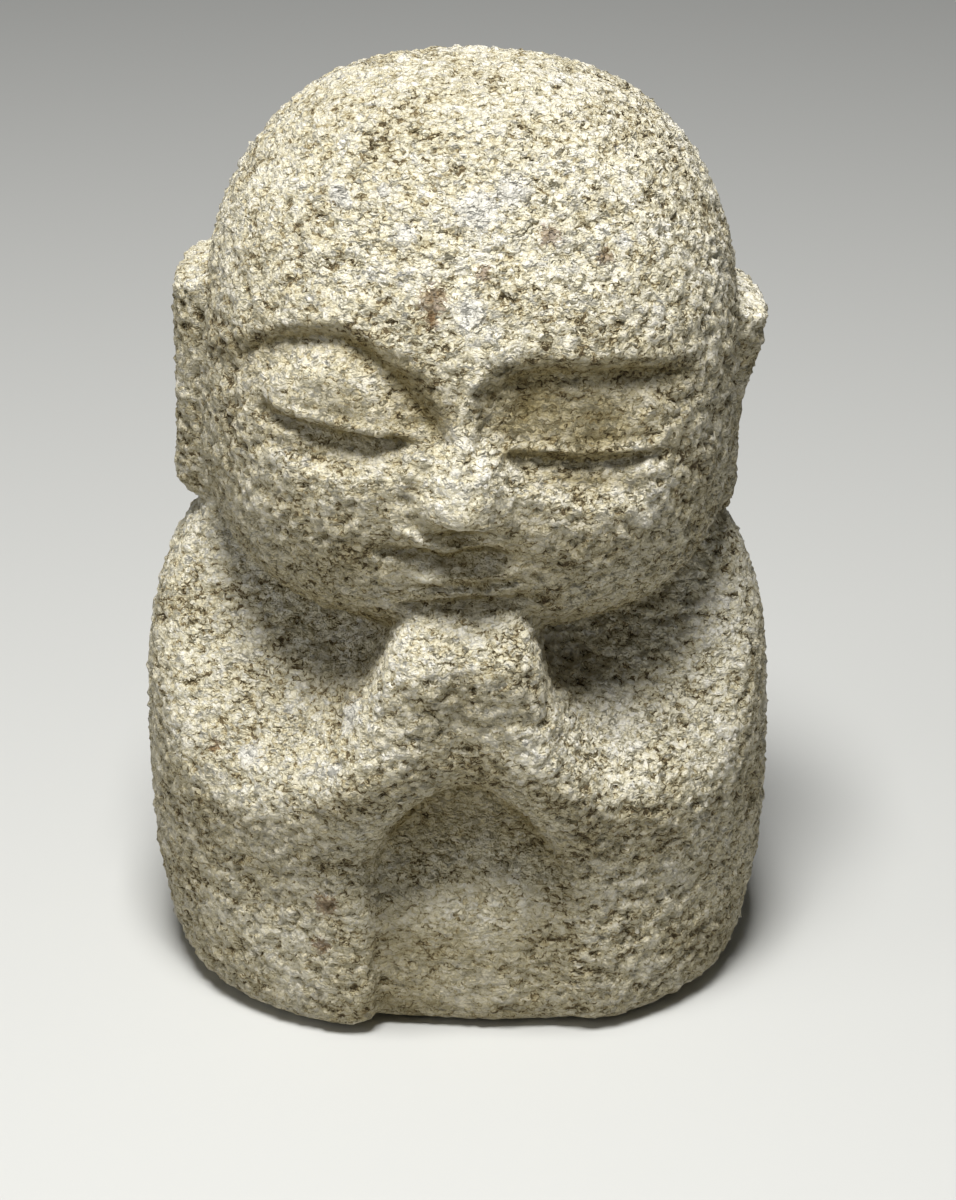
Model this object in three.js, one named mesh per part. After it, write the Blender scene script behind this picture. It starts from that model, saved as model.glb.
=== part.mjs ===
// A small stone jizo: a monk with the round head of a child, bowed over hands pressed together in prayer.
// It is carved from one pebble of granite, so it is one closed solid with a flat underside.
// Units are millimetres, +Z is up, the figure faces -Y and the origin is the middle of the underside.

import * as THREE from "three";

// The driving size. Everything else is a share of it, so the figure keeps its pose when the height changes:
// the carving is laid out on a grid that counts 99 from the underside to the crown.
const statueHeight = 99;
const gridHeight = 99;
const gridStep = statueHeight / gridHeight;

// Sizes on the grid. A plan power of 2 gives a round plan, a higher one a squarer plan.
const bodyShape = {
  level: 24, halfWidth: 33.9, halfDepth: 28.8, rise: 34, drop: 42, plan: 2.3, top: 3, foot: 2.5,
};
const bodyForward = 0.5;
const footForward = 2.8;
const underArms = { depth: 1.1, level: 15, halfHeight: 8, front: [-5, -20] };
const baseEdgeRound = 4;

const headShape = {
  level: 66, halfWidth: 28.35, halfDepth: 26.5, rise: 33, drop: 24, plan: 2.3, top: 2.55, foot: 3,
};
const headAside = 1.3;
const headForward = 2;
const headSlant = { share: 0.1, from: -16, to: 20 };
const browFlat = { depth: 2.4, levels: [8, 26] };
const headTilt = THREE.MathUtils.degToRad(2);

const armLedge = { level: 31.8, elbowFall: 0.01, inward: 0.45, rear: -14, climb: 1.5 };
const shoulders = { level: 39, back: 18, lean: 0.7, fall: 0.008 };
const ledgeRim = 3;

const chestHollow = {
  forward: 28, level: 49, halfWidth: 29, halfDepth: 17, halfHeight: 14, plan: 3, profile: 2.2,
};
const hollowRim = 4;

const nicheMiddle = 0.8;
const nicheHalfWidth = 9.3;
const nicheArch = { spring: 16, rise: 13, point: 1.7 };
const nicheBack = { foot: 26.4, top: 22.2, levels: [11, 26], turn: 0.11 };
const nicheRim = { left: 3.5, right: 6, from: [2, 9] };

const handsMiddle = 1.2;
const handsHalfWidth = 6;
const fingertips = { level: 49.6, forward: 24.3, slope: 0.47 };
const handsFront = 30.3;
const handsInside = { back: -10, bottom: 25 };
const wristSpread = { left: 5.5, right: 3, height: 12 };
const armJoin = { left: 7, right: 3, across: 4 };
const palmLine = { depth: 0.6, middle: 0.2, halfWidth: 1.3, start: [31, 36] };

const leftEar = { top: 10.2, upperReach: 31.9, lowerReach: 31.2 };
const rightEar = { top: 8.8, upperReach: 31.9, lowerReach: 29.1 };
const earBottom = [-19, -13];
const earFront = [80, 92];
const earBack = [112, 124];
const earWidens = [-6, 10];

// The face is measured in its own tilted frame, from a point between the eyes.
const faceTilt = THREE.MathUtils.degToRad(4.4);
const faceMiddle = [-0.95, 1.2];
const faceSides = [-4, -9];
const browDepth = 2;
const browMiddle = 13.5;
const leftBrow = { rise: 8.9, inner: 10.6, outer: 11.5, innerCurve: 1.6, outerCurve: 1.5, bevel: 3.4, fall: 2.2 };
const rightBrow = { rise: 8.5, inner: 11.4, outer: 15, innerCurve: 3.6, outerCurve: 2.5, bevel: 2.6, fall: 3.2 };
const browTop = { bevel: 2.5, widens: [-3, -8], bottom: [-1.5, 2], shallow: 0.75, shallows: [3, 12] };
const lidShape = { middle: 12.8, level: 3.6, halfWidth: 9, halfHeight: 4.6, inner: [3, 6], outer: [17, 22.5] };
const leftLid = { bulge: 1.1, line: 0.15, innerSag: 1.6, outerSag: 0.35, crease: 1.1, creaseHeight: 1.9 };
const rightLid = { bulge: 0.6, line: 0.65, innerSag: 1.1, outerSag: 1, crease: 0.8, creaseHeight: 1.3 };
const creaseEdge = [-0.5, 0.8];
const nose = { middle: 1.2, bridge: 2.4, wings: 5.4, rise: 2.6, start: [10, 3], widest: -6, cutOff: [-7.8, -6.2] };
const noseBridgeShare = 0.12;
const mouthBasin = { middle: -0.3, halfWidth: 8, level: -11, halfHeight: 4, depth: 0.8 };
const mouthLine = { level: -9.85, dip: 0.7, dipAt: -2, depth: 0.7, middle: -2.2, halfLength: 8, halfHeight: 0.9 };
const upperLip = { level: -9, middle: -2.1, leftSlope: 0.4, rightSlope: 0.28, rise: 0.4, halfLength: 7 };
const lowerLip = { level: -12.2, slant: 0.12, rise: 0.5, halfLength: 6.5 };
const lipHalfHeight = 0.9;

const { clamp, lerp } = THREE.MathUtils;

// The smaller of two distances, with the corner between them blended; a small blend leaves a crisp line.
function softMin(a, b, blend) {
  const overlap = Math.max(blend - Math.abs(a - b), 0) / blend;
  return Math.min(a, b) - (overlap * overlap * blend) / 4;
}

function softMax(a, b, blend) {
  return -softMin(-a, -b, blend);
}

// Goes from 0 to 1 between two values.
function ease(from, to, value) {
  const t = clamp((value - from) / (to - from), 0, 1);
  return t * t * (3 - 2 * t);
}

// Is 1 at zero and dies away over the given width.
function swell(value, width) {
  return Math.exp(-((value / width) ** 2));
}

// A pebble with its own roundness in plan and in profile.
function pebble(x, y, z, halfWidth, halfDepth, halfHeight, plan, profile) {
  const round = Math.abs(x / halfWidth) ** plan + Math.abs(y / halfDepth) ** plan;
  const reach = (round ** (profile / plan) + Math.abs(z / halfHeight) ** profile) ** (1 / profile);
  return Math.hypot(x, y, z) * (1 - 1 / Math.max(reach, 1e-6));
}

// A pebble that is fullest at one level, with a different curve above and below it.
function boulder(x, y, up, shape) {
  const { halfWidth, halfDepth, plan } = shape;
  const [halfHeight, profile] = up > 0 ? [shape.rise, shape.top] : [shape.drop, shape.foot];
  return pebble(x, y, up, halfWidth, halfDepth, halfHeight, plan, profile);
}

// The robed body leans out a little at the foot, is drawn in under the forearms and closes over the shoulders.
function robe(x, y, z) {
  const below = clamp(bodyShape.level - z, 0, bodyShape.level) / bodyShape.level;
  const inward = underArms.depth * swell(z - underArms.level, underArms.halfHeight) * ease(...underArms.front, y);
  return boulder(x, y + bodyForward + footForward * below * below - inward, z - bodyShape.level, bodyShape);
}

// The forearms make a ledge that climbs inwards from the front, lower at the elbows; the shoulders lean back.
function aboveArms(x, y, z, robed) {
  const { elbowFall, inward, rear, climb } = armLedge;
  const risen = inward * Math.max(-robed, 0) + climb * Math.max(y - rear, 0) - elbowFall * x * x;
  const ledge = (z - armLedge.level - risen) / Math.hypot(1, inward);
  const slope = shoulders.lean * (z - shoulders.level) - shoulders.back + shoulders.fall * x * x - y;
  return softMin(ledge, slope / Math.hypot(1, shoulders.lean), 5);
}

// The hollow between chin and forearms sets the head free of the chest.
function hollow(x, y, z) {
  const { forward, level, halfWidth, halfDepth, halfHeight, plan, profile } = chestHollow;
  return pebble(x, y + forward, z - level, halfWidth, halfDepth, halfHeight, plan, profile);
}

// A shallow niche between the hanging sleeves, arched under the hands.
function niche(x, y, z) {
  const { spring, rise, point } = nicheArch;
  const aside = Math.abs(x - nicheMiddle) / nicheHalfWidth;
  const above = Math.max(z - spring, 0) / rise;
  const arch = ((aside ** point + above ** point) ** (1 / point) - 1) * nicheHalfWidth;
  const back = lerp(nicheBack.foot, nicheBack.top, ease(...nicheBack.levels, z));
  return softMax(arch, y + back + nicheBack.turn * (x - nicheMiddle), 1.5);
}

// Two hands palm to palm, wide at the wrists and narrow at the fingertips, which touch the chin.
function hands(x, y, z) {
  const { level, forward, slope } = fingertips;
  const spread = (x < handsMiddle ? wristSpread.left : wristSpread.right) / wristSpread.height;
  const below = clamp(level - z, 0, wristSpread.height);
  const side = (Math.abs(x - handsMiddle) - handsHalfWidth - spread * below) / Math.hypot(1, spread);
  const top = (z - level - slope * (y + forward)) / Math.hypot(1, slope);
  const inside = softMax(y - handsInside.back, handsInside.bottom - z, 4);
  const block = softMax(softMax(softMax(side, -y - handsFront, 5), top, 3.5), inside, 8);
  return block + palmLine.depth * swell(x - palmLine.middle, palmLine.halfWidth) * ease(...palmLine.start, z);
}

// A long ear is a raised band down the side of the head. It hangs straight while the jaw draws in behind it.
function earRelief(x, y, up) {
  const ear = x > 0 ? rightEar : leftEar;
  const turn = THREE.MathUtils.radToDeg(Math.atan2(Math.abs(x), -y));
  const band = ease(...earFront, turn) * (1 - ease(...earBack, turn));
  const length = ease(...earBottom, up) * (1 - ease(ear.top - 1.8, ear.top, up));
  const drawnIn = clamp(-up, 0, 20) / headShape.drop;
  const cheek = headShape.halfWidth * (1 - drawnIn ** headShape.foot) ** (1 / headShape.foot);
  const reach = lerp(ear.lowerReach, ear.upperReach, ease(...earWidens, up));
  return band * length * clamp(reach - cheek, 0, 9);
}

// A value that passes from the left side's to the right side's across the bridge of the nose.
function bySide(x, left, right) {
  return lerp(left, right, ease(-2, 2, x));
}

// The brow falls in a bevel to a groove over the closed eye, arched on the left and squarer on the right.
function browRelief(x, up) {
  const aside = Math.abs(x) - browMiddle;
  const [reach, curving] = aside < 0 ? ["inner", "innerCurve"] : ["outer", "outerCurve"];
  const curve = bySide(x, leftBrow[curving], rightBrow[curving]);
  const across = Math.abs(aside) / bySide(x, leftBrow[reach], rightBrow[reach]);
  const height = bySide(x, leftBrow.rise, rightBrow.rise);
  const off = ((across ** curve + (Math.max(up, 0) / height) ** curve) ** (1 / curve) - 1) * height;
  const bevel = lerp(browTop.bevel, bySide(x, leftBrow.bevel, rightBrow.bevel), ease(...browTop.widens, aside));
  const inside = swell(off, bySide(x, leftBrow.fall, rightBrow.fall));
  const groove = off > 0 ? clamp(1 - off / bevel, 0, 1) ** 1.4 : inside;
  const outward = 1 - browTop.shallow * ease(...browTop.shallows, aside);
  return -browDepth * groove * ease(...browTop.bottom, up) * outward;
}

// The closed lid bulges softly over a crease that parts it from the cheek; the right one is flatter.
function lidRelief(x, up) {
  const aside = Math.abs(x);
  const outward = (aside - lidShape.middle) / lidShape.halfWidth;
  const above = (up - lidShape.level) / lidShape.halfHeight;
  const bulge = bySide(x, leftLid.bulge, rightLid.bulge) * clamp(1 - outward ** 2 - above ** 2, 0, 1);
  const sagging = outward < 0 ? "innerSag" : "outerSag";
  const sag = bySide(x, leftLid[sagging], rightLid[sagging]) * outward ** 2;
  const below = sag + bySide(x, leftLid.line, rightLid.line) - up;
  const length = ease(...lidShape.inner, aside) * (1 - ease(...lidShape.outer, aside));
  const height = bySide(x, leftLid.creaseHeight, rightLid.creaseHeight);
  const fall = below > creaseEdge[1] ? swell(below - creaseEdge[1], height) : 1;
  return bulge - bySide(x, leftLid.crease, rightLid.crease) * ease(...creaseEdge, below) * fall * length;
}

// The nose widens from the bridge to the tip and is cut off square beneath.
function noseRelief(x, up) {
  const down = ease(nose.start[1], nose.widest, up);
  const halfWidth = lerp(nose.bridge, nose.wings, down);
  const rise = nose.rise * lerp(noseBridgeShare, 1, down) * ease(...nose.start, up) * ease(...nose.cutOff, up);
  return rise * clamp(1 - ((x - nose.middle) / halfWidth) ** 2, 0, 1) ** 1.3;
}

// Is 1 along a line and dies away at its ends.
function along(aside, halfLength) {
  return 1 - ease(halfLength - 3, halfLength, Math.abs(aside));
}

// The mouth lies level in a shallow basin, with a dip in its line and a worked ridge above and below.
function mouthRelief(x, up) {
  const outward = (x - mouthBasin.middle) / mouthBasin.halfWidth;
  const above = (up - mouthBasin.level) / mouthBasin.halfHeight;
  const basin = -mouthBasin.depth * swell(Math.hypot(outward, above), 1);
  const fromLine = up - mouthLine.level + mouthLine.dip * swell(x - mouthLine.dipAt, 1.4);
  const line = swell(fromLine, mouthLine.halfHeight) * along(x - mouthLine.middle, mouthLine.halfLength);
  const aside = x - upperLip.middle;
  const climb = (aside < 0 ? upperLip.leftSlope : upperLip.rightSlope) * Math.abs(aside);
  const upper = swell(up - upperLip.level - climb, lipHalfHeight) * along(aside, upperLip.halfLength);
  const fromLower = up - lowerLip.slant * x - lowerLip.level;
  const lower = swell(fromLower, lipHalfHeight) * along(x, lowerLip.halfLength);
  return basin - mouthLine.depth * line + upperLip.rise * upper + lowerLip.rise * lower;
}

function faceRelief(x, y, up) {
  const [fromX, fromUp] = [x - faceMiddle[0], up - faceMiddle[1]];
  const across = fromX * Math.cos(faceTilt) - fromUp * Math.sin(faceTilt);
  const above = fromX * Math.sin(faceTilt) + fromUp * Math.cos(faceTilt);
  const features = browRelief(across, above) + lidRelief(across, above) + noseRelief(across, above);
  return (features + mouthRelief(x, up)) * ease(...faceSides, y);
}

function head(x, y, z) {
  const [fromX, fromZ] = [x - headAside, z - headShape.level];
  const across = fromX * Math.cos(headTilt) - fromZ * Math.sin(headTilt);
  const up = fromX * Math.sin(headTilt) + fromZ * Math.cos(headTilt);
  const setBack = headSlant.share * (clamp(up, headSlant.from, headSlant.to) - headSlant.from);
  const halfDepth = headShape.halfDepth - browFlat.depth * ease(...browFlat.levels, up);
  const bare = boulder(across, y + headForward - setBack, up, { ...headShape, halfDepth });
  return bare - earRelief(across, y, up) - faceRelief(across, y, up);
}

function figure(x, y, z) {
  const robed = robe(x, y, z);
  const armed = softMax(robed, aboveArms(x, y, z, robed), ledgeRim);
  const join = lerp(armJoin.left, armJoin.right, ease(-armJoin.across, armJoin.across, x));
  const chest = softMin(softMax(armed, -hollow(x, y, z), hollowRim), hands(x, y, z), join);
  const rim = lerp(nicheRim.left, nicheRim.right, ease(...nicheRim.from, x));
  return softMin(softMax(chest, -niche(x, y, z), rim), head(x, y, z), 1.2);
}

function standing(x, y, z) {
  return softMax(figure(x, y, z), -z, baseEdgeRound);
}

// The skin is found along rays from an upright spine inside the stone: level along its length and fanned out
// from its upper end. Neighbouring rays are joined, so the skin is closed.
const spineTop = 80;
const farOut = 60;
function skinPoint(origin, direction, form) {
  const point = new THREE.Vector3();
  const gapAt = (reach) => {
    point.copy(origin).addScaledVector(direction, reach);
    return form(point.x, point.y, point.z);
  };
  let reach = farOut;
  while (reach > 0 && gapAt(reach) > 0.05) reach -= clamp(0.5 * gapAt(reach), 0.05, 5);
  let [inner, outer] = [Math.max(reach - 1, 0), reach + 0.2];
  for (let halving = 0; halving < 24; halving++) {
    const middle = (inner + outer) / 2;
    if (gapAt(middle) < 0) inner = middle;
    else outer = middle;
  }
  return point.clone();
}

// Columns of rays: close together over the face and the ears, wide apart over the back. Each sector is
// [end in degrees from the front, steps].
const sectors = [
  [62, 21],
  [80, 4],
  [126, 12],
  [180, 6],
];
function headings() {
  const half = [0];
  for (const [end, steps] of sectors) {
    const start = half[half.length - 1];
    for (let step = 1; step <= steps; step++) half.push(lerp(start, end, step / steps));
  }
  const other = half.slice(1, -1).reverse();
  return [...half, ...other.map((turn) => 360 - turn)].map((turn) => THREE.MathUtils.degToRad(turn));
}

// The level of the crease under the round head, by degrees from the front: over the fingertips, down into the
// hollow beside them, up to the shoulders, lower under the ears and on the side that the head leans to.
const crease = { fingertips: 49.2, hollow: 43, shoulders: 51, earDip: 0.9, leanDip: 0.5 };
const creaseTurns = { besideFingers: [12, 26], jaw: [46, 88], ear: 102, earHalfWidth: 14 };
function creaseLevel(turn) {
  const fromFront = THREE.MathUtils.radToDeg(Math.min(turn, 2 * Math.PI - turn));
  const front = lerp(crease.fingertips, crease.hollow, ease(...creaseTurns.besideFingers, fromFront));
  const level = lerp(front, crease.shoulders, ease(...creaseTurns.jaw, fromFront));
  const underEar = crease.earDip * swell(fromFront - creaseTurns.ear, creaseTurns.earHalfWidth);
  return level - underEar - crease.leanDip * Math.sin(turn);
}

// Rows of rays, closest over the face. They run along the crease, so that it stays crisp, and above it they
// tip with the face, along the lids and the nose. Each band is [lower level, upper level, rows].
const rowDip = { depth: 2.9, jaw: [2, 9], crown: 9 };
function rowLevels(turn) {
  const underHead = creaseLevel(turn);
  const bands = [
    [0, 2.4, 3],
    [2.4, 27, 9],
    [27, underHead - 0.6, 11],
    [underHead - 0.6, underHead + 1, 2],
    [underHead + 1, spineTop, 24],
  ];
  const spread = ([low, high, rows]) => Array.from({ length: rows }, (_, row) => lerp(low, high, (row + 0.5) / rows));
  const share = (level) => ease(...rowDip.jaw, level - underHead) * ease(0, rowDip.crown, spineTop - level);
  return bands.flatMap(spread).map((level) => level - rowDip.depth * share(level) * Math.sin(turn));
}

const crownClimbs = [0.05, 0.19, 0.33, 0.48, 0.62, 0.76, 0.89].map((share) => (share * Math.PI) / 2);
const spineEnd = new THREE.Vector3(0, 0, spineTop);
function skinColumns() {
  const around = headings();
  const outward = (turn, climb) =>
    new THREE.Vector3(Math.sin(turn) * Math.cos(climb), -Math.cos(turn) * Math.cos(climb), Math.sin(climb));
  const underside = (x, y, z) => figure(x, y, z) + baseEdgeRound;
  const column = (turn) => [
    skinPoint(new THREE.Vector3(), outward(turn, 0), underside),
    ...rowLevels(turn).map((level) => skinPoint(new THREE.Vector3(0, 0, level), outward(turn, 0), standing)),
    ...crownClimbs.map((climb) => skinPoint(spineEnd, outward(turn, climb), standing)),
  ];
  return { columns: around.map(column), crown: skinPoint(spineEnd, outward(0, Math.PI / 2), standing) };
}

function statueGeometry() {
  const { columns, crown } = skinColumns();
  const rows = columns[0].length;
  const points = [new THREE.Vector3(), ...columns.flat(), crown];
  const corner = (row, column) => 1 + (column % columns.length) * rows + row;
  const faces = [];
  for (let column = 0; column < columns.length; column++) {
    faces.push([0, corner(0, column + 1), corner(0, column)]);
    faces.push([points.length - 1, corner(rows - 1, column), corner(rows - 1, column + 1)]);
    for (let row = 0; row < rows - 1; row++) {
      const [a, b] = [corner(row, column), corner(row, column + 1)];
      const [c, d] = [corner(row + 1, column), corner(row + 1, column + 1)];
      const risingIsShorter = points[a].distanceTo(points[d]) < points[b].distanceTo(points[c]);
      if (risingIsShorter) faces.push([a, b, d], [a, d, c]);
      else faces.push([a, b, c], [b, d, c]);
    }
  }
  const geometry = new THREE.BufferGeometry().setFromPoints(points);
  geometry.setIndex(faces.flat());
  geometry.computeBoundingBox();
  const middle = geometry.boundingBox.getCenter(new THREE.Vector3());
  geometry.translate(-middle.x, -middle.y, 0);
  geometry.scale(gridStep, gridStep, gridStep);
  geometry.computeVertexNormals();
  return geometry;
}

const granite = new THREE.MeshStandardMaterial({ color: 0xc9bfa6, roughness: 0.92, metalness: 0 });

const statue = new THREE.Mesh(statueGeometry(), granite);
statue.name = "jizo_statue";

const model = new THREE.Group();
model.add(statue);

export default model;
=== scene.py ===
"""A small jizo carved from one pebble of rust-tinted granite, standing on a pale studio floor.

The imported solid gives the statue's place, size and main forms. Its skin is drawn over again here with finer
carving, geometry nodes raise the pecked grain on it, and one procedural material gives the stone its colours.
"""

import math

import bmesh
import bpy
import numpy as np
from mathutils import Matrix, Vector


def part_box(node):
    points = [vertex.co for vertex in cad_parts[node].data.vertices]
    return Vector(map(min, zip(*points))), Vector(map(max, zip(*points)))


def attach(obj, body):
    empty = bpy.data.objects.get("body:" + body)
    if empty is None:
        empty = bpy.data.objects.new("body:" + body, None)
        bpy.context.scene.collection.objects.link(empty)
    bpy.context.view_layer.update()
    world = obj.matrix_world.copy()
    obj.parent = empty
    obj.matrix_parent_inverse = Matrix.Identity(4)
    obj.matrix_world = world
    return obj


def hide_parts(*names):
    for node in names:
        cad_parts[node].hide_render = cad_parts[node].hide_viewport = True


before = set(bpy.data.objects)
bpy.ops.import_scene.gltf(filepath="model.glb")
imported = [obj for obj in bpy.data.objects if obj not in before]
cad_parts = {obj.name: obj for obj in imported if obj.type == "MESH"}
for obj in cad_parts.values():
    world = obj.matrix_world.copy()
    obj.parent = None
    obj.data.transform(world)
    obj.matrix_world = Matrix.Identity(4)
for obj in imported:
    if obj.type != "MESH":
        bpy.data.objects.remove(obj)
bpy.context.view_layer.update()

# The carving is laid out on a grid of millimetres, as the solid's is. It counts 99.04 from the underside to
# the crown, and the statue's own box gives its step in metres. The spine, from which it is laid out, stands
# behind the middle of the box.
crown_level = 99.04
spine_behind = 1.565
statue_low, statue_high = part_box("jizo_statue")
step = (statue_high.z - statue_low.z) / crown_level
middle = (statue_low + statue_high) / 2
spine = np.array((middle.x, middle.y + spine_behind * step, statue_low.z))

skin_cell = 0.5
triangle_limit = 190_000


def linear(code):
    """An sRGB hex value as the linear colour that a shader takes."""
    parts = [int(code[i : i + 2], 16) / 255 for i in (1, 3, 5)]
    return (*[p / 12.92 if p <= 0.04045 else ((p + 0.055) / 1.055) ** 2.4 for p in parts], 1)


def add(tree, kind, inputs=None, **settings):
    """Adds a node with its settings. An input takes a value or the output that it is linked to."""
    node = tree.nodes.new(kind)
    for name, value in settings.items():
        setattr(node, name, value)
    for key, value in (inputs or {}).items():
        if isinstance(value, bpy.types.NodeSocket):
            tree.links.new(value, node.inputs[key])
        else:
            node.inputs[key].default_value = value
    return node


def maths(tree, operation, *values, **settings):
    """Adds a sum on up to three values and gives its result."""
    return add(tree, "ShaderNodeMath", dict(enumerate(values)), operation=operation, **settings).outputs[0]


def vectors(tree, operation, *values):
    """Adds the same on vectors."""
    return add(tree, "ShaderNodeVectorMath", dict(enumerate(values)), operation=operation).outputs[0]


def ranged(tree, value, given, wanted=(0.0, 1.0)):
    """Adds a node that carries a value from one range to another and holds it at the ends."""
    inputs = dict(enumerate((value, *given, *wanted)))
    return add(tree, "ShaderNodeMapRange", inputs).outputs[0]


# The rules that shape the stone. Each form gives how far a point is outside it, in grid millimetres. Levels
# count from the underside, and half sizes from a form's middle.
waist = 24
robe_half = (33.9, 28.8)
head_middle = 1.3
head_level = 66
head_half = (28.35, 26.5)
jaw_depth = 24
plan_roundness = 2.3
niche_middle = 0.8
niche_half = 9.3
hands_middle = 1.2
fingertips = 49.6


def soft_min(a, b, blend):
    overlap = np.maximum(blend - np.abs(a - b), 0) / blend
    return np.minimum(a, b) - overlap * overlap * blend / 4


def soft_max(a, b, blend):
    return -soft_min(-a, -b, blend)


def ease(start, end, value):
    t = np.clip((value - start) / (end - start), 0, 1)
    return t * t * (3 - 2 * t)


def lerp(a, b, t):
    return a + (b - a) * t


def swell(value, width):
    return np.exp(-((value / width) ** 2))


def pebble(x, y, z, half, plan, profile):
    """A pebble with its own roundness in plan and in profile."""
    across = (np.abs(x / half[0]) ** plan + np.abs(y / half[1]) ** plan) ** (profile / plan)
    reach = (across + np.abs(z / half[2]) ** profile) ** (1 / profile)
    return np.sqrt(x * x + y * y + z * z) * (1 - 1 / np.maximum(reach, 1e-6))


def robe(x, y, z):
    """The robed body leans out a little at the foot and closes over the shoulders."""
    footward = np.clip(waist - z, 0, waist) / waist
    y = y + 0.5 + 2.8 * footward**2 - 1.1 * swell(z - 15, 8) * ease(-5, -20, y)
    shoulders = pebble(x, y, z - waist, (*robe_half, 34), plan_roundness, 3.0)
    skirt = pebble(x, y, z - waist, (*robe_half, 42), plan_roundness, 2.5)
    return np.where(z > waist, shoulders, skirt)


def above_arms(x, y, z, robed):
    """The forearms make a ledge that climbs inwards and is lower at the elbows. The shoulders lean back."""
    climb = 0.45
    lean = 0.7
    inside = np.maximum(-robed, 0)
    ledge = z - 31.8 + 0.01 * x * x - 1.5 * np.maximum(y + 14, 0) - climb * inside
    shoulders = lean * (z - 39) - 18 + 0.008 * x * x - y
    return soft_min(ledge / math.hypot(1, climb), shoulders / math.hypot(1, lean), 5)


def hollow(x, y, z):
    """The hollow between chin and forearms sets the head free of the chest."""
    return pebble(x, y + 28, z - 49, (29, 17, 14), 3, 2.2)


def niche(x, y, z):
    """A shallow niche between the hanging sleeves, arched under the hands."""
    aside = np.abs(x - niche_middle) / niche_half
    above = np.maximum(z - 16, 0) / 13
    arch = ((aside**1.7 + above**1.7) ** (1 / 1.7) - 1) * niche_half
    back = lerp(-26.4, -22.2, ease(11, 26, z)) - 0.11 * (x - niche_middle)
    return soft_max(arch, y - back, 1.5)


def hands(x, y, z):
    """Two hands palm to palm, wide at the wrists and narrow at the fingertips, which touch the chin."""
    climb = 0.47
    spread = np.where(x < hands_middle, 5.5, 3) / 12
    half = 6 + spread * np.clip(fingertips - z, 0, 12)
    side = (np.abs(x - hands_middle) - half) / np.hypot(1, spread)
    front = -y - 30.3 + 0.1 * np.clip(42 - z, 0, 14)
    top = (z - fingertips - climb * (y + 24.3)) / math.hypot(1, climb)
    inside = soft_max(y + 10, 25 - z, 4)
    block = soft_max(soft_max(soft_max(side, front, 5), top, 3.5), inside, 8)
    return block + 0.6 * swell(x - 0.2, 1.3) * ease(31, 36, z) * ease(48, 42, z)


def ear_relief(x, y, up):
    """A long ear is a raised band down the side of the head. It hangs straight while the jaw draws in.

    A line parts it from the cheek, another ends it behind, and it is dished behind its rim.
    """
    turn = np.degrees(np.arctan2(np.abs(x), -y))
    right = x > 0
    top = np.where(right, 8.8, 10.2)
    band = ease(80, 92, turn) * (1 - ease(112, 124, turn))
    length = ease(-19, -13, up) * (1 - ease(top - 1.8, top, up))
    cheek = head_half[0] * (1 - (np.clip(-up, 0, 20) / jaw_depth) ** 3) ** (1 / 3)
    reach = lerp(np.where(right, 29.1, 31.2), 31.9, ease(-6, 10, up))
    parting = swell(turn - 83, 2.4)
    dish = 1.7 * ease(98, 101, turn) * ease(112, 108, turn) * ease(-13, -10, up) * ease(7, 5, up)
    back_line = 0.8 * swell(turn - 121, 2.4)
    return length * (band * np.clip(reach - cheek, 0, 9) - parting - dish - back_line)


def brow_relief(x, up):
    """The brow falls in a bevel to a groove over the eye, arched on the left and squarer on the right."""
    right = ease(-2, 2, x)
    aside = np.abs(x) - 13.5
    inner = aside < 0
    span = np.where(inner, lerp(10.6, 11.4, right), lerp(11.5, 15, right))
    curve = np.where(inner, lerp(1.6, 3.6, right), lerp(1.5, 2.5, right))
    above = np.maximum(up, 0) / lerp(8.9, 8.5, right)
    off = ((np.abs(aside / span) ** curve + above**curve) ** (1 / curve) - 1) * 9
    bevel = lerp(2.0, lerp(3.4, 2.6, right), ease(-3, -8, aside))
    groove = np.where(off > 0, np.clip(1 - off / bevel, 0, 1) ** 1.4, swell(off, lerp(2.2, 3.2, right)))
    return -2.0 * groove * ease(-1.5, 2, up) * (1 - lerp(0.75, 0.95, right) * ease(2, 12, aside))


def lid_relief(x, up):
    """The closed lid bulges over a lip, and a crease parts it from the cheek. The right one is flatter."""
    right = ease(-2, 2, x)
    aside = np.abs(x)
    dome = np.clip(1 - ((aside - 12.8) / 9) ** 2 - ((up - 3.6) / 4.6) ** 2, 0, 1)
    bulge = lerp(0.8, 0.15, right) * dome
    sag = np.where(aside < 13, 0.4, lerp(0.35, 1, right)) * ((aside - 13) / 8) ** 2
    below = sag + lerp(0.15, -0.15, right) - up
    length = ease(3, 6, aside) * (1 - ease(17, 22.5, aside))
    lip = 0.35 * swell(below + 0.5, 0.55) * length
    reach = lerp(0.7 + 1.3 * swell(aside - 12, 5), 0.8, right)
    fall = np.where(below > 0.6, swell(below - 0.6, reach), 1)
    crease = lerp(1.3, 1.0, right) * ease(-0.2, 0.6, below) * fall * length
    low_rim = 3.6 - 1.6 * ((18 - aside) / 10.8) ** 2
    tall = ease(-1.8, 0.4, up + low_rim) * ease(8.5, 3, up)
    socket = tall * ease(3.5, 7, aside) * ease(22, 13, aside)
    return bulge + lip - crease - lerp(1.2, 2.0, right) * socket


def nose_relief(x, up):
    """The nose widens from the bridge to the tip and is cut off square beneath."""
    half = lerp(2.4, 5.4, ease(4, -6, up))
    rise = lerp(0.3, 3.1, ease(7, -6.3, up)) * ease(10, 3, up) * ease(-7.8, -6.4, up)
    return rise * np.clip(1 - ((x - 1.2) / half) ** 2, 0, 1) ** 1.3


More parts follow.
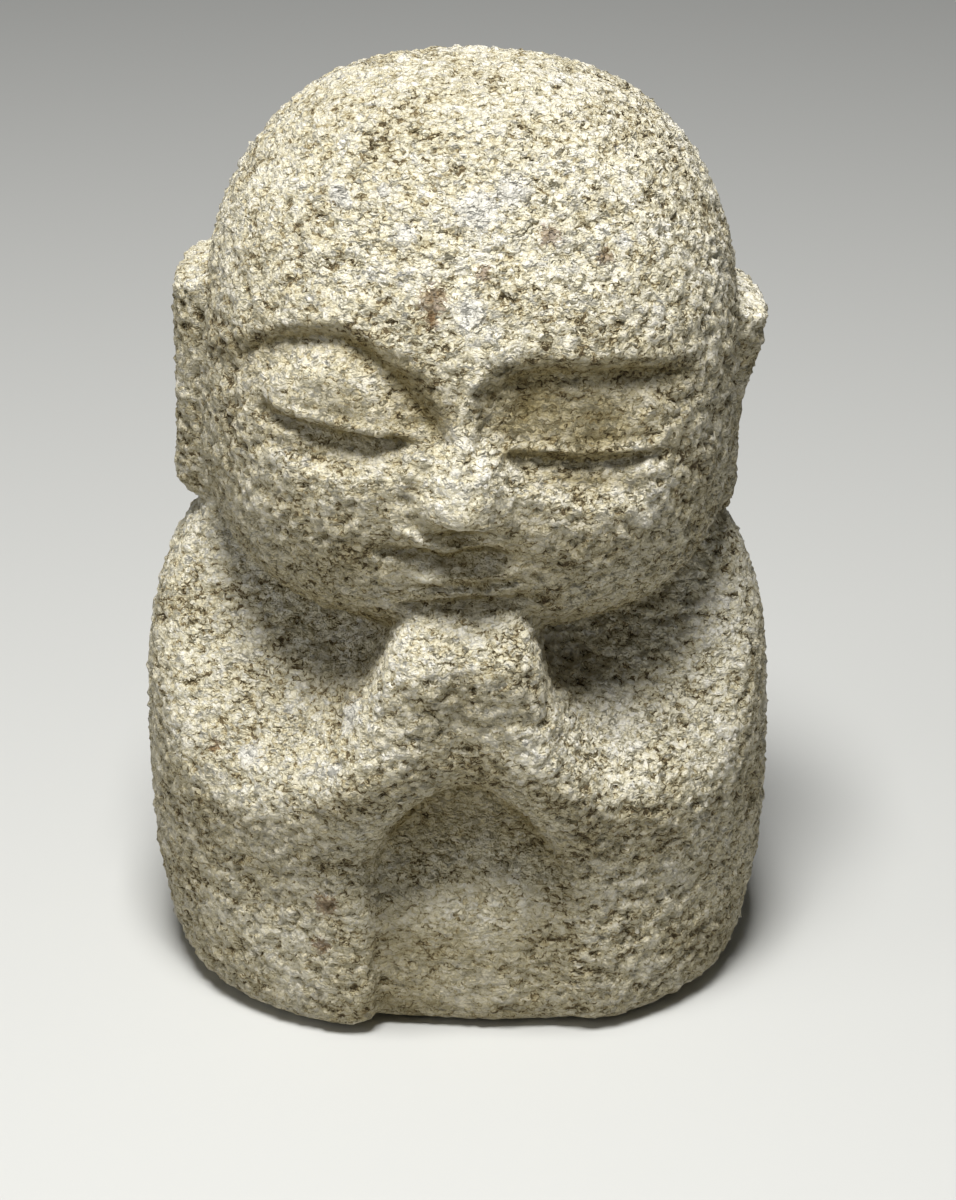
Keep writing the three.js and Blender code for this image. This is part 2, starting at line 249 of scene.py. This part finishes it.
def mouth_relief(x, up):
    """The mouth lies level in a shallow basin, with a dip in its line and thin ridges above and below."""
    basin = -0.8 * swell(x + 0.3, 8) * swell(up + 11, 4)
    philtrum = -1.5 * swell(x + 0.2, 2.6) * swell(up + 7.8, 1.1)
    length = 1 - ease(4.5, 8, np.abs(x + 2.2))
    line = -1.8 * swell(up + 9.85 + 0.7 * swell(x + 2, 1.4), 0.7) * length
    gape = -0.6 * swell(up + 11, 0.9) * (1 - ease(3.5, 6.5, np.abs(x + 0.5)))
    upper_edge = up + 9.3 - np.where(x < -2.1, 0.45, 0.28) * np.abs(x + 2.1)
    upper_lip = 0.6 * swell(upper_edge, 0.6) * (1 - ease(4, 7, np.abs(x + 1.6)))
    slant = 0.12 * (x + 0.5)
    short = 1 - ease(3.5, 6.5, np.abs(x))
    lower_lip = 0.7 * swell(up + 12.4 - slant, 0.7) - 0.8 * swell(up + 13.5 - slant, 0.5)
    chin_line = 0.6 * swell(up + 14.4 - slant, 0.45)
    undercut = -1.2 * swell(up + 15.9 - slant, 0.8) * (1 - ease(5, 8.5, np.abs(x - 0.5)))
    return basin + philtrum + line + gape + upper_lip + (lower_lip + chin_line) * short + undercut


def head_place(x, z):
    """The head's own axes: it leans over by two degrees."""
    lean = math.radians(2)
    aside = x - head_middle
    above = z - head_level
    across = aside * math.cos(lean) - above * math.sin(lean)
    return across, aside * math.sin(lean) + above * math.cos(lean)


def face_place(x, up):
    """The face's own axes, from a point between the eyes: it leans over further than the head."""
    lean = math.radians(4.4)
    aside = x + 0.95
    above = up - 1.2
    across = aside * math.cos(lean) - above * math.sin(lean)
    return across, aside * math.sin(lean) + above * math.cos(lean)


def face_relief(x, up):
    """All that is carved on the face, by how far it stands out from the head."""
    across, above = face_place(x, up)
    eyes = brow_relief(across, above) + lid_relief(across, above)
    return eyes + nose_relief(across, above) + mouth_relief(x, up)


def head(x, y, z):
    """The bare head is a tall pebble with a shallower one for the jaw. Its crown leans back."""
    x, up = head_place(x, z)
    set_back = y + 2 - 0.1 * np.clip(up + 16, 0, 36)
    wide, deep = head_half
    skull = pebble(x, set_back, up, (wide, deep - 2.4 * ease(8, 26, up), 33), plan_roundness, 2.55)
    jaw = pebble(x, set_back, up, (wide, deep, jaw_depth), plan_roundness, 3.0)
    return np.where(up > 0, skull, jaw) - ear_relief(x, y, up) - face_relief(x, up) * ease(-4, -9, y)


def statue_form(x, y, z):
    """The whole statue. The hands join the left arm more softly, and the niche's edge fades upwards."""
    robed = robe(x, y, z)
    robed = soft_max(robed, above_arms(x, y, z, robed), 3)
    joining = lerp(8, 3, ease(-4, 4, x) * ease(37, 42, z))
    chest = soft_min(soft_max(robed, -hollow(x, y, z), 4), hands(x, y, z), joining)
    fading = lerp(3.5, 8, np.maximum(0.6 * ease(2, 9, x), ease(12, 22, z)))
    figure = soft_min(soft_max(chest, -niche(x, y, z), fading), head(x, y, z), 1.2)
    return soft_max(figure, -z, 4)


def recess_shade(x, y, z):
    """How much painted shade a place takes, where shade falls in the carving.

    These are the hollow, the niche, the grooves of the face and the underside of the chin.
    """
    head_x, up = head_place(x, z)
    grooves = (1 - np.exp(np.minimum(0.6 * face_relief(head_x, up), 0))) * ease(-4, -12, y)
    in_hollow = 0.7 * ease(4, -4, hollow(x, y, z)) * ease(1, 4, head(x, y, z)) * ease(-26, -20, y)
    in_niche = lerp(0.35, 0.7, ease(16, 26, z)) * ease(2, -2, niche(x, y, z) - 1)
    under_chin = 0.5 * ease(-16, -20, up) * ease(3, 0, head(x, y, z)) * ease(0, -10, y)
    return np.clip(np.maximum.reduce([grooves, in_hollow, in_niche, under_chin]), 0, 1)


# Marks in the stone, by their place on the carving and how far they spread: pale crystal, and iron stain.
crystal_marks = (
    (2.4, -17.7, 89.8, 3.0), (5.6, -16.4, 91.4, 2.2), (-5.0, -18.8, 87.6, 1.4),
    (-7.0, -15.8, 91.2, 0.9), (1.4, -23.1, 81.1, 2.0), (-11.5, -14.8, 90.3, 1.6),
    (16.8, -16.5, 86.2, 1.2), (16.5, -9.7, 93.5, 0.6), (-21.8, -20.9, 30.5, 1.8),
    (-17.6, -18.7, 35.0, 1.0), (-10.8, -24.6, 37.1, 2.4), (-12.6, -27.3, 32.1, 1.2),
)
iron_marks = (
    (-2.3, -22.5, 82.1, 1.9), (-2.3, -23.5, 80.2, 1.0), (9.3, -18.5, 87.5, 1.4),
    (2.7, -21.1, 84.5, 1.0), (-25.5, -18.7, 30.5, 0.9), (14.8, -18.2, 85.2, 1.1),
    (-13.9, -26.6, 15.7, 1.6), (-14.5, -26.7, 10.8, 1.2),
)


def near_marks(points, marks):
    """Is 1 at the middle of a mark and dies away over its spread."""
    places = np.array(marks)
    away = np.linalg.norm(points[:, None] - places[None, :, :3], axis=2) / places[:, 3]
    return np.exp(-(away.min(axis=1) ** 2))


def worked_smooth(x, y, z):
    """How far a place was rubbed smooth: the carved face, the niche and the foot keep less of the pecking."""
    x, up = head_place(x, z)
    across, above = face_place(x, up)
    front = ease(-4, -12, y)
    eyes = ease(9.5, 6.5, np.hypot(np.abs(across) - 12.5, (above - 3.5) * 1.1))
    mouth = ease(10, 4, np.hypot(x * 0.9, up + 10))
    inside = ease(2, -1, niche(x, y, z) - 1)
    return np.maximum.reduce([0.75 * eyes * front, 0.9 * mouth * front, 0.6 * inside])


# The skin


def slope_of(points):
    """The outward direction of the form at each point, and how far the point is outside it."""
    reach = 0.02
    gap = statue_form(*points.T)
    nudges = np.eye(3) * reach
    slope = np.stack([(statue_form(*(points + nudge).T) - gap) / reach for nudge in nudges], axis=1)
    return gap, slope


def draw_skin(points, edges):
    """Moves the net's points onto the form, and evens out their spacing along it."""
    longest_move = 0.8
    least_steep = 0.05
    counts = np.bincount(edges.ravel(), minlength=len(points))[:, None]
    for evening in (0.6, 0.6, 0.5, 0.5, 0.3, 0, 0):
        gap, slope = slope_of(points)
        steep = np.sum(slope * slope, axis=1)
        move = np.clip(gap / np.maximum(steep, least_steep), -longest_move, longest_move)
        points = points - slope * move[:, None]
        if evening:
            total = np.zeros_like(points)
            for here, there in (edges.T, edges.T[::-1]):
                for axis in range(3):
                    total[:, axis] += np.bincount(here, points[there, axis], minlength=len(points))
            outward = slope / np.sqrt(steep)[:, None]
            shift = total / counts - points
            shift -= outward * np.sum(shift * outward, axis=1)[:, None]
            points = points + evening * shift
    return points


def applied(piece):
    """Turns a piece with its modifiers into a plain mesh."""
    evaluated = piece.evaluated_get(bpy.context.evaluated_depsgraph_get())
    mesh = bpy.data.meshes.new_from_object(evaluated)
    piece.modifiers.clear()
    piece.data = mesh
    return piece


def lay_net(piece):
    """Wraps a piece in a fine net of even squares."""
    remesh = piece.modifiers.new("net", "REMESH")
    remesh.mode = "VOXEL"
    remesh.voxel_size = skin_cell * step
    return applied(piece)


def copied_solid():
    """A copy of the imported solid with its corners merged."""
    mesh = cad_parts["jizo_statue"].data.copy()
    merged = bmesh.new()
    merged.from_mesh(mesh)
    bmesh.ops.remove_doubles(merged, verts=merged.verts, dist=1e-6)
    merged.to_mesh(mesh)
    merged.free()
    mesh.materials.clear()
    solid = bpy.data.objects.new("jizo_stone", mesh)
    bpy.context.scene.collection.objects.link(solid)
    return solid


def carved_statue():
    """The fine skin, with what the stone's colours and grain depend on kept at each of its points."""
    statue = copied_solid()
    for _ in range(2):
        mesh = lay_net(statue).data
        points = np.empty(len(mesh.vertices) * 3)
        mesh.vertices.foreach_get("co", points)
        edges = np.empty(len(mesh.edges) * 2, dtype=np.int32)
        mesh.edges.foreach_get("vertices", edges)
        points = draw_skin((points.reshape(-1, 3) - spine) / step, edges.reshape(-1, 2))
        mesh.vertices.foreach_set("co", (points * step + spine).ravel())
    slope = slope_of(points)[1]
    # Kept for the material: the smoothing, the painted shade in recesses, the skyward slope and the marks.
    for name, values in (
        ("worked", worked_smooth(*points.T)),
        ("recess_shade", recess_shade(*points.T)),
        ("skyward", slope[:, 2] / np.linalg.norm(slope, axis=1)),
        ("crystal", near_marks(points, crystal_marks)),
        ("iron", near_marks(points, iron_marks)),
    ):
        mesh.attributes.new(name, "FLOAT", "POINT").data.foreach_set("value", values)
    mesh.update()
    return statue


# The pecked grain


def slant_of(tree, away, cells):
    """Slants each cell of a pattern its own way, like the broken face of a crumb."""
    lean = vectors(tree, "SUBTRACT", cells["Color"], (0.5, 0.5, 0.5))
    return add(tree, "ShaderNodeVectorMath", {0: away, 1: lean}, operation="DOT_PRODUCT").outputs["Value"]


def pecked_skin_tree(stone):
    """Raises grains and sinks pits on a skin, less where the skin was worked smooth.

    Its inputs are lengths in metres. The foot stays flat: the relief starts 0.2 mm above the floor and is
    whole at 2 mm.
    """
    tree = bpy.data.node_groups.new("pecked_skin", "GeometryNodeTree")
    millimetres = {
        "Grain": 1.05,
        "Grain depth": 0.46,
        "Pit spacing": 3.4,
        "Pit depth": 0.5,
        "Lump": 8.0,
        "Lump depth": 0.3,
    }
    seed = 7.3
    foot_band = (0.0002, 0.002)
    tree.interface.new_socket("Skin", in_out="INPUT", socket_type="NodeSocketGeometry")
    for name, size in millimetres.items():
        socket = tree.interface.new_socket(name, in_out="INPUT", socket_type="NodeSocketFloat")
        socket.default_value = size * step
    tree.interface.new_socket("Seed", in_out="INPUT", socket_type="NodeSocketFloat").default_value = seed
    tree.interface.new_socket("Skin", in_out="OUTPUT", socket_type="NodeSocketGeometry")

    given = add(tree, "NodeGroupInput").outputs
    place = add(tree, "GeometryNodeInputPosition").outputs[0]
    worked = add(tree, "GeometryNodeInputNamedAttribute", {"Name": "worked"}, data_type="FLOAT").outputs[0]
    per_grain, per_pit, per_lump = [
        maths(tree, "DIVIDE", 1.0, given[name]) for name in ("Grain", "Pit spacing", "Lump")
    ]

    flat = vectors(tree, "MULTIPLY", place, (0.75, 0.75, 1.2))
    crumbs = add(
        tree, "ShaderNodeTexNoise",
        {"Vector": flat, "W": given["Seed"], "Scale": per_grain, "Detail": 2.0, "Roughness": 0.6},
        noise_dimensions="4D",
    ).outputs[0]
    cells = add(
        tree, "ShaderNodeTexVoronoi", {"Vector": flat, "W": given["Seed"], "Scale": per_grain},
        voronoi_dimensions="4D", distance="MANHATTAN",
    ).outputs
    away = vectors(tree, "SUBTRACT", flat, cells["Position"])
    away = add(tree, "ShaderNodeVectorMath", {0: away, "Scale": per_grain}, operation="SCALE").outputs[0]
    slant = slant_of(tree, away, cells)
    grain = maths(tree, "SUBTRACT", crumbs, 0.5)
    grain = maths(tree, "MULTIPLY", grain, 3.0)
    domed = maths(tree, "SUBTRACT", 0.6, cells["Distance"])
    grain = maths(tree, "MULTIPLY_ADD", domed, 0.5, grain)
    grain = maths(tree, "MULTIPLY_ADD", slant, 1.5, grain)
    grain = maths(tree, "MULTIPLY", grain, given["Grain depth"])

    pit = add(
        tree, "ShaderNodeTexVoronoi", {"Vector": flat, "W": given["Seed"], "Scale": per_pit},
        voronoi_dimensions="4D",
    )
    chance = add(tree, "FunctionNodeSeparateColor", {0: pit.outputs["Color"]}).outputs[0]
    width = ranged(tree, chance, (0.35, 1.0), (0.0, 0.34))
    sunk = maths(tree, "SUBTRACT", width, pit.outputs["Distance"])
    sunk = ranged(tree, sunk, (0.0, 0.2))
    sunk = maths(tree, "MULTIPLY", sunk, given["Pit depth"])
    pecked = maths(tree, "SUBTRACT", grain, sunk)
    rough = ranged(tree, worked, (0.0, 1.0), (1.0, 0.5))
    pecked = maths(tree, "MULTIPLY", pecked, rough)

    lumps = add(
        tree, "ShaderNodeTexNoise", {"Vector": place, "W": given["Seed"], "Scale": per_lump, "Detail": 1.0},
        noise_dimensions="4D",
    ).outputs[0]
    lumps = maths(tree, "SUBTRACT", lumps, 0.5)
    lumps = maths(tree, "MULTIPLY", lumps, 2.0)
    lumps = maths(tree, "MULTIPLY", lumps, given["Lump depth"])

    height = add(tree, "ShaderNodeSeparateXYZ", {0: place}).outputs[2]
    off_floor = ranged(tree, height, foot_band)
    relief = maths(tree, "ADD", pecked, lumps)
    relief = maths(tree, "MULTIPLY", relief, off_floor)
    outward = add(tree, "GeometryNodeInputNormal").outputs[0]
    offset = add(tree, "ShaderNodeVectorMath", {0: outward, "Scale": relief}, operation="SCALE").outputs[0]

    depth = maths(tree, "DIVIDE", pecked, step)
    kept = add(
        tree, "GeometryNodeStoreNamedAttribute",
        {"Geometry": given["Skin"], "Name": "pecking", "Value": depth},
        data_type="FLOAT", domain="POINT",
    ).outputs[0]
    moved = add(tree, "GeometryNodeSetPosition", {"Geometry": kept, "Offset": offset}).outputs[0]
    whole = add(tree, "GeometryNodeRealizeInstances", {0: moved}).outputs[0]
    faced = add(tree, "GeometryNodeSetMaterial", {"Geometry": whole, "Material": stone}).outputs[0]
    add(tree, "NodeGroupOutput", {0: faced})
    return tree


def peck(statue, stone):
    """Pecks the skin, then thins its net where the grain is flat, so that the mesh stays light."""
    pecking = statue.modifiers.new("pecking", "NODES")
    pecking.node_group = pecked_skin_tree(stone)
    applied(statue)
    triangles = sum(len(face.vertices) - 2 for face in statue.data.polygons)
    thin = statue.modifiers.new("thin", "DECIMATE")
    thin.ratio = min(1, triangle_limit / triangles)
    thin.use_collapse_triangulate = True
    applied(statue)
    statue.data.polygons.foreach_set("use_smooth", np.ones(len(statue.data.polygons), dtype=bool))
    return statue


# Materials


def noise(tree, place, scale, detail, roughness=0.5):
    """Adds a soft noise."""
    inputs = {"Vector": place, "Scale": scale, "Detail": detail, "Roughness": roughness}
    return add(tree, "ShaderNodeTexNoise", inputs).outputs


def broken_crumbs(tree, place, scale):
    """Adds a pattern of crumbs: each one's dice, the way to its edge, and its slanted face."""
    pattern = {"Vector": place, "Scale": scale}
    cells = add(tree, "ShaderNodeTexVoronoi", pattern, distance="MANHATTAN").outputs
    slant = slant_of(tree, vectors(tree, "SUBTRACT", place, cells["Position"]), cells)
    dice = add(tree, "ShaderNodeSeparateColor", {0: cells["Color"]}).outputs
    return dice, cells["Distance"], slant


def pecked_granite():
    """Rust-tinted fine granite, pecked to shape with a pointed chisel and left unpolished.

    It shows cream feldspar crumbs with slanted broken faces, tan and olive between them that is partly their
    own tone and partly painted shade, pits darkened with painted shade, a few pale crystals and rusty spots,
    and grey-brown painted shade in the hollow, the niche, the face's grooves, under the chin and where it
    faces down. It is matt.
    """
    material = bpy.data.materials.new("granite_rust_tinted_pecked")
    material.use_nodes = True
    tree = material.node_tree
    tree.nodes.clear()
    per_mm = 1 / step
    place = add(tree, "ShaderNodeTexCoord").outputs["Object"]
    even = add(tree, "ShaderNodeMapping", {"Vector": place, "Scale": (per_mm,) * 3}).outputs[0]
    # A scale counts how often its pattern comes in a millimetre. Crumbs are 0.8 mm across and the chips among
    # them 0.36, their edges stray over 0.8, stain drifts over 1.7 and over 7.7, and fine grit is 0.45.
    crumb_scale = 1.25
    chip_scale = 2.8
    stray_scale = 1.2
    haze_scale = 0.6
    broad_scale = 0.13
    grit_scale = 2.2
    stray = noise(tree, even, stray_scale, 2.0)["Color"]
    stray = vectors(tree, "SUBTRACT", stray, (0.5, 0.5, 0.5))
    wavy = vectors(tree, "MULTIPLY_ADD", stray, (1.5, 1.5, 1.2), even)
    flat = vectors(tree, "MULTIPLY", wavy, (1.0, 1.0, 1.9))
    pecking, worked, recess_shade_amount, skyward, crystal, iron = [
        add(tree, "ShaderNodeAttribute", attribute_name=name).outputs["Fac"]
        for name in ("pecking", "worked", "recess_shade", "skyward", "crystal", "iron")
    ]

    crumb_dice, crumb_edge, crumb_slant = broken_crumbs(tree, flat, crumb_scale)
    chip_dice, _, chip_slant = broken_crumbs(tree, flat, chip_scale)
    haze = noise(tree, flat, haze_scale, 5.0, 0.7)[0]
    tone = add(tree, "ShaderNodeMix", {"Factor": 0.42, 2: crumb_dice[0], 3: chip_dice[0]}).outputs[0]
    tone = add(tree, "ShaderNodeMix", {"Factor": 0.36, 2: tone, 3: haze}).outputs[0]
    # Painted shade: each crumb darkens towards its edge, and the tone follows the pecked relief, darker in
    # pits and lighter on raised grains.
    tone = maths(tree, "MULTIPLY_ADD", crumb_edge, -0.22, tone)
    pit_shaded_tone = maths(tree, "MULTIPLY_ADD", pecking, 0.35, tone)
    broad = noise(tree, even, broad_scale, 3.0, 0.6)[0]
    broad = maths(tree, "SUBTRACT", broad, 0.5)
    tone = maths(tree, "MULTIPLY_ADD", broad, 0.5, pit_shaded_tone)
    ramp = add(tree, "ShaderNodeValToRGB", {0: tone})
    stops = (
        (0.0, "#6E5F43"),  # darkest: painted shade in pits and between crumbs
        (0.06, "#A0906A"),  # olive
        (0.12, "#C9BC97"),  # tan
        (0.23, "#E4DBBB"),
        (0.35, "#F2EACF"),  # cream
        (0.5, "#F8F2DF"),
        (0.7, "#FBF7EB"),
    )
    while len(ramp.color_ramp.elements) < len(stops):
        ramp.color_ramp.elements.new(0.5)
    for element, (spot, code) in zip(ramp.color_ramp.elements, stops):
        element.position = spot
        element.color = linear(code)

    # Painted shade: grey-brown is multiplied over faces turned away from the sky and over the hollow, niche,
    # face grooves and underside of the chin. Broad random blotches thin it.
    painted_shade = ranged(tree, skyward, (0.5, -0.1), (0.0, 0.5))
    painted_shade = maths(tree, "MULTIPLY_ADD", recess_shade_amount, 0.75, painted_shade)
    painted_shade = maths(tree, "MULTIPLY_ADD", broad, -0.8, painted_shade, use_clamp=True)
    colour = add(
        tree, "ShaderNodeMix", {0: painted_shade, 6: ramp.outputs[0], 7: linear("#ADA384")},
        data_type="RGBA", blend_type="MULTIPLY",
    ).outputs[2]

    ragged = add(tree, "ShaderNodeMix", {"Factor": 0.5, 2: haze, 3: chip_dice[2]}).outputs[0]
    for mark, code, amount in ((iron, "#80603F", 0.7), (crystal, "#F1EEE4", 0.75)):
        edge = maths(tree, "MULTIPLY_ADD", ragged, 1.0, mark)
        edge = ranged(tree, edge, (0.92, 1.2), (0.0, amount))
        blend = {0: edge, 6: colour, 7: linear(code)}
        colour = add(tree, "ShaderNodeMix", blend, data_type="RGBA").outputs[2]

    grit = noise(tree, flat, grit_scale, 3.0, 0.6)[0]
    height = maths(tree, "MULTIPLY_ADD", crumb_slant, 1.5, chip_slant)
    height = maths(tree, "MULTIPLY_ADD", crumb_dice[0], 0.25, height)
    height = maths(tree, "MULTIPLY_ADD", grit, 0.5, height)
    strength = ranged(tree, worked, (0.0, 1.0), (1.0, 0.85))
    bump = add(tree, "ShaderNodeBump", {"Strength": strength, "Distance": step, "Height": height}).outputs[0]
    surface = add(
        tree, "ShaderNodeBsdfPrincipled",
        {"Base Color": colour, "Roughness": 0.88, "IOR": 1.5, "Specular IOR Level": 0.35, "Normal": bump},
    ).outputs[0]
    add(tree, "ShaderNodeOutputMaterial", {"Surface": surface})
    return material


def studio_card():
    """Off-white studio card, painted matt: it takes soft shadows and lights the stone from below."""
    material = bpy.data.materials.new("card_white_matt")
    material.use_nodes = True
    shader = material.node_tree.nodes["Principled BSDF"]
    shader.inputs["Base Color"].default_value = linear("#CBCBC7")
    shader.inputs["Roughness"].default_value = 0.75
    return material


# The studio


def studio():
    """A pale floor under a soft lamp overhead, a little left and in front, and a weak window on the left."""
    floor_half = 3.0
    mesh = bpy.data.meshes.new("studio_floor")
    corners = [(-1, -1), (1, -1), (1, 1), (-1, 1)]
    mesh.from_pydata([(x * floor_half, y * floor_half, statue_low.z) for x, y in corners], [], [(0, 1, 2, 3)])
    mesh.materials.append(studio_card())
    floor = bpy.data.objects.new("studio_floor", mesh)
    bpy.context.scene.collection.objects.link(floor)

    for name, place, aim, size, watts in (
        ("overhead", (-0.03, -0.15, 0.58), (-0.03, -0.15, 0), 0.18, 4.85),
        ("window", (-0.7, -0.3, 0.3), (0, 0, 0.04), 0.3, 0.7),
    ):
        lamp = bpy.data.lights.new(name, "AREA")
        lamp.size = size
        lamp.energy = watts
        holder = bpy.data.objects.new(name, lamp)
        holder.location = place
        holder.rotation_euler = (Vector(aim) - Vector(place)).to_track_quat("-Z", "Y").to_euler()
        bpy.context.scene.collection.objects.link(holder)

    world = bpy.data.worlds.new("soft_room")
    world.use_nodes = True
    room = world.node_tree.nodes["Background"].inputs
    room["Color"].default_value = linear("#E8ECEE")
    room["Strength"].default_value = 0.07
    bpy.context.scene.world = world
    bpy.context.scene.view_settings.view_transform = "Standard"


def camera():
    """Looks down on the statue from about 400 mm away, as the photograph does."""
    pitch = math.radians(25.5)
    distance = 0.400
    aim = Vector((0.0022, spine_behind * step, 0.0386))
    photo_height = 1200
    focal_length = 3660
    eye = bpy.data.cameras.new("camera")
    eye.sensor_width = 36
    eye.lens = eye.sensor_width * focal_length / photo_height
    eye.clip_start = 0.01
    holder = bpy.data.objects.new("camera", eye)
    holder.location = aim + distance * Vector((0, -math.cos(pitch), math.sin(pitch)))
    holder.rotation_euler = (math.pi / 2 - pitch, 0, 0)
    bpy.context.scene.collection.objects.link(holder)
    bpy.context.scene.camera = holder


camera()
studio()
statue = peck(carved_statue(), pecked_granite())
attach(statue, "root")
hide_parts("jizo_statue")
